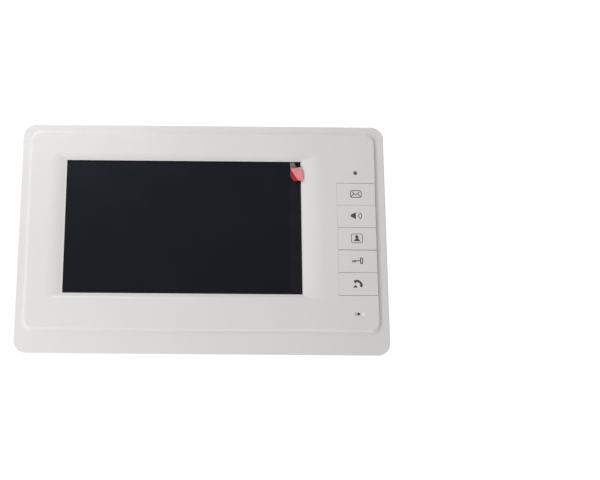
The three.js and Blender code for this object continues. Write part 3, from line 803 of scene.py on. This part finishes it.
def sound_waves(symbol):
    symbol.stroke(arc(2.9, 0, 1.4, 1.35, 115, 245), 0.42)
    symbol.stroke(arc(1.1, 0, 2.3, 2.4, -62, 62), 0.42)


def person(symbol):
    symbol.fill(arc(-0.1, 0.98, 1.1, 1.1, 0, 360, steps=20)[:-1])
    symbol.fill([(2.0, -1.8), (1.9, -1.2), (1.35, -0.65), (0.65, -0.35), (0.6, 0.3), (-0.65, 0.3),
                 (-0.7, -0.35), (-1.35, -0.65), (-1.9, -1.2), (-2.0, -1.8)])


def picture_frame(symbol):
    symbol.stroke(rounded_frame(7.2, 5.8, 0.9), 0.36, closed=True)


def key_shape(symbol):
    bow = [(x + 2.5, z) for x, z in rounded_frame(1.35, 3.7, 0.6)]
    symbol.stroke(bow, 0.55, closed=True)
    symbol.stroke([(1.8, 0.0), (-3.1, 0.0)], 0.5)
    symbol.stroke([(-3.0, 0.15), (-3.35, -0.3), (-3.35, -1.1)], 0.5)
    symbol.stroke([(-2.45, 0.0), (-2.15, -0.8), (-1.6, -0.8), (-1.3, 0.0)], 0.5)


def handset(symbol):
    symbol.stroke(arc(-1.0, -1.6, 3.15, 3.3, 8, 112, steps=18), 1.45)
    symbol.fill([(-2.85, 1.6), (-2.7, 0.75), (-1.95, 0.2), (-1.15, 0.6), (-1.25, 2.0),
                 (-2.1, 2.15)])
    symbol.fill([(0.85, -1.45), (1.5, -2.25), (2.35, -2.2), (2.95, -1.3), (2.8, -0.6),
                 (1.3, -0.7)])
    symbol.fill([(-3.35, -2.6), (-0.45, -2.6), (-1.9, -0.75)])


SYMBOLS = {
    "message_key": [(envelope, M_PRINT_FINE)],
    "volume_key": [(loudspeaker, M_PRINT), (sound_waves, M_PRINT_FINE)],
    "view_key": [(person, M_PRINT), (picture_frame, M_PRINT_LIGHT)],
    "unlock_key": [(key_shape, M_PRINT_FINE)],
    "talk_key": [(handset, M_PRINT)],
}
SYMBOL_RAISE = {"message_key": 0.15 * MM, "volume_key": 0.35 * MM, "view_key": 0.2 * MM,
                "unlock_key": 0.3 * MM, "talk_key": 0.3 * MM}       # above the middle of the cap


def key_cap(name):
    """A cap with softly rounded edges, its hidden flange and stem, and its printed symbol."""
    low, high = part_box(name + "_cap")
    index = KEYS.index(name)
    top = key_edge(index) - KEY_GAPS[index] / 2
    bottom = key_edge(index + 1) + KEY_GAPS[index + 1] / 2
    section = {"x": (KEY_LEFT + high.x) / 2, "z": (top + bottom) / 2,
               "w": high.x - KEY_LEFT, "h": top - bottom, "r": KEY_CORNER}
    face = FACE_Y + KEY_SET_BACK
    sections = [(section, KEY_BACK_Y), (section, face + KEY_EDGE)]
    for turn in quarter_turn(6, first=1):
        sections.append((grown(section, -KEY_EDGE * (1 - math.cos(turn))),
                         face + KEY_EDGE * (1 - math.sin(turn))))
    cap = skin(name + "_cap_fine", sections, steps=4)
    flange = block("flange", (low.x, KEY_FLANGE_Y, low.z + 2 * MM),
                   (KEY_LEFT + MM, KEY_BACK_Y + 0.1 * MM, high.z - 2 * MM))
    middle = (low.z + high.z) / 2
    reach = 2 * MM
    stem = block("stem", (BUTTON_X - reach, KEY_BACK_Y - 0.2 * MM, middle - reach),
                 (BUTTON_X + reach, high.y, middle + reach))
    combine(cap, [flange, stem], "UNION")
    smooth(cap)
    stand_for(cap, name + "_cap", M_KEY)
    for draw, ink in SYMBOLS[name]:
        symbol = Symbol(f"{name}_{draw.__name__}", BUTTON_X, middle + SYMBOL_RAISE[name],
                        face - SYMBOL_LIFT)
        draw(symbol)
        symbol.build(name, ink)


# ------------------------------------------------------------------ small parts

SCREW_HEAD_R = 2.7 * MM
SCREW_DOME = 1 * MM
SCREW_HEAD = 1.8 * MM                       # height of the head, dome and all
SCREW_CORE_R = 1.1 * MM
SCREW_THREAD_R = 1.4 * MM
SCREW_PITCH = 0.8 * MM
SCREW_POINT = 1.2 * MM                      # length without thread
RECESS_DEPTH = 1.1 * MM
RECESS_ARM, RECESS_SLOT = 1.6 * MM, 0.32 * MM


def screw_nodes():
    return sorted(node for node in frame["nodes"] if "_screw_" in node)


def cross_recess(x, z, head, depth, turn):
    """The cutter for a cross recess, narrower at its bottom and turned about the screw's axis."""
    corners = [(RECESS_ARM, RECESS_SLOT), (RECESS_SLOT, RECESS_SLOT), (RECESS_SLOT, RECESS_ARM)]
    for _ in range(3):
        corners += [(-pz, px) for px, pz in corners[-3:]]
    points = []
    for y, scale in ((head - depth, 1.3), (head + depth, 0.7)):
        for px, pz in corners:
            across = (px * math.cos(turn) - pz * math.sin(turn)) * scale
            up = (px * math.sin(turn) + pz * math.cos(turn)) * scale
            points.append((x + across, y, z + up))
    count = len(corners)
    faces = [tuple(range(count)), tuple(range(count, 2 * count))]
    faces += [(i, (i + 1) % count, count + (i + 1) % count, count + i) for i in range(count)]
    return mesh_object("recess", points, faces)


def screw(node):
    """A pan-head screw with a cross recess, its thread as fine rings."""
    low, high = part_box(node)
    x, z = middle_of(node)
    head_in_front = node.startswith("main_board")
    head, tip = (low.y, high.y) if head_in_front else (high.y, low.y)
    inward = 1 if tip > head else -1
    profile = [(0, head)]
    for turn in quarter_turn(6, first=1):
        profile.append((SCREW_HEAD_R * math.sin(turn),
                        head + inward * SCREW_DOME * (1 - math.cos(turn))))
    seat = head + inward * SCREW_HEAD
    profile += [(SCREW_HEAD_R, seat), (SCREW_CORE_R, seat)]
    for index in range(int((abs(tip - seat) - SCREW_POINT) / SCREW_PITCH)):
        y = seat + inward * (0.3 * MM + index * SCREW_PITCH)
        profile += [(SCREW_CORE_R, y), (SCREW_THREAD_R, y + inward * SCREW_PITCH * 0.45),
                    (SCREW_CORE_R, y + inward * SCREW_PITCH * 0.9)]
    profile.append((0, tip))
    obj = turned(node + "_fine", profile, x, z, segments=24)
    driven_to = math.radians(20 + 37 * screw_nodes().index(node))       # no two heads alike
    combine(obj, [cross_recess(x, z, head, inward * RECESS_DEPTH, driven_to)], "DIFFERENCE")
    weld(obj)
    smooth(obj)
    stand_for(obj, node, M_SCREW)


def thumbwheel(name):
    """A wheel with rounded ribs and eased rims, on its stub shaft."""
    low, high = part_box(name + "_wheel")
    x, z = middle_of(name + "_wheel")
    back, front = high.y, high.y - WHEEL_THICK
    count = WHEEL_RIBS * 10
    points, faces = [], []
    rims = [(0.5, front), (0.15, front + 0.1 * MM), (0, front + 0.4 * MM), (0, back - 0.4 * MM),
            (0.15, back - 0.1 * MM), (0.5, back)]
    for inset, y in rims:
        for i in range(count):
            angle = 2 * math.pi * i / count
            valley = WHEEL_RIB_DEPTH * (1 - math.cos(WHEEL_RIBS * angle)) / 2
            radius = (high.x - low.x) / 2 - inset * MM - valley
            points.append((x + radius * math.cos(angle), y, z + radius * math.sin(angle)))
    for span in range(len(rims) - 1):
        here, there = span * count, (span + 1) * count
        for i in range(count):
            j = (i + 1) % count
            faces.append((here + i, here + j, there + j, there + i))
    faces += [tuple(range(count)), tuple(range(len(points) - count, len(points)))]
    wheel = mesh_object(name + "_wheel_fine", points, faces)
    root = front + 0.5 * MM
    shaft = [(0, low.y), (WHEEL_SHAFT_R - 0.1 * MM, low.y), (WHEEL_SHAFT_R, low.y + 0.1 * MM),
             (WHEEL_SHAFT_R, root), (0, root)]
    combine(wheel, [turned("shaft", shaft, x, z, segments=24)], "UNION")
    smooth(wheel, sharp_angle=60)
    stand_for(wheel, name + "_wheel", M_WHEEL)


def light_guide():
    """The indicator's lens: a low dome, flush with the panel at its crown."""
    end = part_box("indicator_light_guide")[1].y
    crown = 0.3 * MM
    profile = [(LENS_R * math.sin(turn), FACE_Y + crown * (1 - math.cos(turn)))
               for turn in quarter_turn(8)]
    rim, front, back = 2 * MM, FACE_Y + 2.3 * MM, FACE_Y + 3.1 * MM
    profile += [(LENS_R, front), (rim, front), (rim, back), (LENS_R, back), (LENS_R, end), (0, end)]
    obj = turned("indicator_light_guide_fine", profile, BUTTON_X, LED_Z)
    smooth(obj)
    stand_for(obj, "indicator_light_guide", M_LENS)


def socket_pins(node, count):
    """A row of square brass pins on the floor of a socket."""
    pitch, half = 2.5 * MM, 0.32 * MM
    middle, z = middle_of(node)
    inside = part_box(node)[0].y + 1.2 * MM
    for index in range(count):
        x = middle + (index - (count - 1) / 2) * pitch
        pin = block(f"{node}_pin_{index + 1}", (x - half, inside - 0.6 * MM, z - half),
                    (x + half, inside + 3.6 * MM, z + half))
        soften(pin, 0.08 * MM)
        smooth(pin)
        detail(pin, "monitor", "frame_steel", M_BRASS)


def board_parts():
    """The larger components on the back of the main board: chips and electrolytic capacitors."""
    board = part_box("main_board")[1].y
    chips = [(-28, 22, 14, 14), (2, 18, 20, 12), (34, 16, 9, 12), (8, -14, 12, 8)]      # mm
    for index, (x, z, w, h) in enumerate(chips):
        section = {"x": x * MM, "z": z * MM, "w": w * MM, "h": h * MM, "r": 0.3 * MM}
        chip = skin(f"board_chip_{index + 1}", [
            (section, board + 0.05 * MM), (section, board + 1.3 * MM),
            (grown(section, -0.3 * MM), board + 1.5 * MM)], steps=3)
        smooth(chip)
        detail(chip, "monitor", "black_plastic", M_BLACK)
    radius, bevel, foot = 4 * MM, 0.4 * MM, board + 0.1 * MM
    shoulder, top = foot + 2.9 * MM, foot + 3.3 * MM
    profile = [(0, foot), (radius, foot), (radius, shoulder), (radius - bevel, top), (0, top)]
    for index, (x, z) in enumerate([(36, -10), (36, -22), (24, -28)]):
        can = turned(f"board_capacitor_{index + 1}", profile, x * MM, z * MM, segments=32)
        smooth(can)
        detail(can, "monitor", "frame_steel", M_FRAME)


# ------------------------------------------------------------------ assembly

front_cover()
refined("rear_cover", M_COVER, 0.3 * MM)
refined("wall_bracket", M_BRACKET, 0.15 * MM)
screen_film()
screen_border_and_rim_shade()
pull_tab()
for key_name in KEYS:
    key_cap(key_name)
    refined(key_name + "_switch", M_BLACK, 0.15 * MM)
    refined(key_name + "_plunger", M_BLACK, 0.1 * MM)
for wheel_name in WHEELS:
    thumbwheel(wheel_name)
    refined(wheel_name + "_potentiometer", M_BLACK, 0.15 * MM)
for screw_node in screw_nodes():
    screw(screw_node)
light_guide()
microphone_hole_shade()
socket_pins("door_socket_1", 4)
socket_pins("door_socket_2", 4)
socket_pins("power_socket", 2)
board_parts()

PLAIN_NODES = {                             # each with its material and the rounding of its edges
    "lcd_panel": (M_GLASS, 0),
    "lcd_frame": (M_FRAME, 0.08 * MM),
    "lcd_backlight": (M_DIFFUSER, 0.1 * MM),
    "lcd_retainer_left": (M_FRAME, 0.1 * MM),
    "lcd_retainer_right": (M_FRAME, 0.1 * MM),
    "key_board": (M_BOARD, 0.1 * MM),
    "main_board": (M_BOARD, 0.1 * MM),
    "indicator_led": (M_CREAM, 0.15 * MM),
    "microphone_boot": (M_RUBBER, 0.2 * MM),
    "microphone": (M_FRAME, 0.2 * MM),
    "door_socket_1": (M_CREAM, 0.12 * MM),
    "door_socket_2": (M_CREAM, 0.12 * MM),
    "power_socket": (M_CREAM, 0.12 * MM),
    "key_board_cable": (M_RIBBON, 0),
    "lcd_flex_cable": (M_FLEX, 0),
    "speaker_frame": (M_BLACK, 0.2 * MM),
    "speaker_cone": (M_CONE, 0),
    "speaker_magnet": (M_FRAME, 0.2 * MM),
}
for plain_node, (plain_material, plain_width) in PLAIN_NODES.items():
    refined(plain_node, plain_material, plain_width)


# ------------------------------------------------------------------ camera, light and stage

CAMERA_X, CAMERA_Z = -1.66 * MM, -56.44 * MM
CAMERA_DISTANCE = 387.15 * MM               # in front of the flange
CAMERA_TILT, CAMERA_PAN, CAMERA_ROLL = 8.02, 0.175, 0.455    # degrees up, right and round
CAMERA_LENS = CAMERA_SENSOR = 36            # millimetres
CAMERA_SHIFT = 0.1633                       # the monitor is left of the picture's middle

SURROUND_FRONT, SURROUND_SIDES = 0.125, 0.33    # light from in front, and from elsewhere
SURROUND_TOP = 2.2                          # how many times brighter it is from above
BACKDROP = 1.05                             # brightness of the surround as the camera sees it

FLOOR_HALF = 3.0
FLOOR_Z = -1.4
FLOOR_GLOW = 0.3


def camera():
    """In front of the body and below its middle, looking slightly up at it."""
    data = bpy.data.cameras.new("camera")
    data.sensor_width = CAMERA_SENSOR
    data.lens = CAMERA_LENS
    data.shift_x = CAMERA_SHIFT
    obj = bpy.data.objects.new("camera", data)
    obj.location = (CAMERA_X, FLANGE_Y - CAMERA_DISTANCE, CAMERA_Z)
    pan = Matrix.Rotation(math.radians(-CAMERA_PAN), 4, "Z")
    tilt = Matrix.Rotation(math.radians(90 + CAMERA_TILT), 4, "X")
    roll = Matrix.Rotation(math.radians(CAMERA_ROLL), 4, "Z")
    obj.rotation_euler = (pan @ tilt @ roll).to_euler()
    bpy.context.scene.collection.objects.link(obj)
    bpy.context.scene.camera = obj


def lamp(name, place, size, power):
    """A round soft lamp aimed at the frame's origin."""
    data = bpy.data.lights.new(name, "AREA")
    data.shape = "DISK"
    data.size = size
    data.energy = power
    obj = bpy.data.objects.new(name, data)
    obj.location = place
    obj.rotation_euler = (-Vector(place)).to_track_quat("-Z", "Y").to_euler()
    bpy.context.scene.collection.objects.link(obj)


def studio():
    """Two soft lamps at the left, above and below, one behind at the right, and a white surround.

    The surround's own light is darker in front of the object and brighter from above.
    """
    lamp("upper lamp", (-0.28, -0.4, 0.46), 0.3, 2.15)
    lamp("lower lamp", (-0.38, -0.4, -0.4), 0.3, 1.6)
    lamp("back lamp", (0.7, 0.9, 0.9), 0.9, 9)
    world = bpy.data.worlds.new("surround")
    world.use_nodes = True
    tree = world.node_tree
    around = tree.nodes["Background"]
    around.inputs["Color"].default_value = (1, 1, 1, 1)
    direction = tree.nodes.new("ShaderNodeTexCoord")
    split = tree.nodes.new("ShaderNodeSeparateXYZ")
    tree.links.new(direction.outputs["Generated"], split.inputs["Vector"])
    sideways = map_range(tree, split.outputs["Y"], (-1, -0.2), (SURROUND_FRONT, SURROUND_SIDES))
    upwards = map_range(tree, split.outputs["Z"], (0.1, 0.8), (1, SURROUND_TOP))
    strength = tree.nodes.new("ShaderNodeMath")
    strength.operation = "MULTIPLY"
    tree.links.new(sideways, strength.inputs[0])
    tree.links.new(upwards, strength.inputs[1])
    tree.links.new(strength.outputs["Value"], around.inputs["Strength"])
    seen = tree.nodes.new("ShaderNodeBackground")
    seen.inputs["Color"].default_value = (1, 1, 1, 1)
    seen.inputs["Strength"].default_value = BACKDROP
    path = tree.nodes.new("ShaderNodeLightPath")
    mix = tree.nodes.new("ShaderNodeMixShader")
    tree.links.new(path.outputs["Is Camera Ray"], mix.inputs["Fac"])
    tree.links.new(around.outputs["Background"], mix.inputs[1])
    tree.links.new(seen.outputs["Background"], mix.inputs[2])
    tree.links.new(mix.outputs["Shader"], tree.nodes["World Output"].inputs["Surface"])
    bpy.context.scene.world = world
    bpy.context.scene.view_settings.view_transform = "Standard"


def floor():
    """A wide pale floor, as far below the object as it is when the object hangs at eye height."""
    corners = [(-FLOOR_HALF, -FLOOR_HALF, FLOOR_Z), (FLOOR_HALF, -FLOOR_HALF, FLOOR_Z),
               (FLOOR_HALF, FLOOR_HALF, FLOOR_Z), (-FLOOR_HALF, FLOOR_HALF, FLOOR_Z)]
    obj = mesh_object("floor", corners, [(0, 1, 2, 3)])
    material, tree, shader = new_material("floor", (0.9, 0.9, 0.9), 0.7)
    tint(tree, noise(tree, 2), (0.88, 0.88, 0.88), (0.92, 0.92, 0.92), shader.inputs["Base Color"])
    shader.inputs["Emission Color"].default_value = (1, 1, 1, 1)
    shader.inputs["Emission Strength"].default_value = FLOOR_GLOW
    obj.data.materials.append(material)


camera()
studio()
floor()
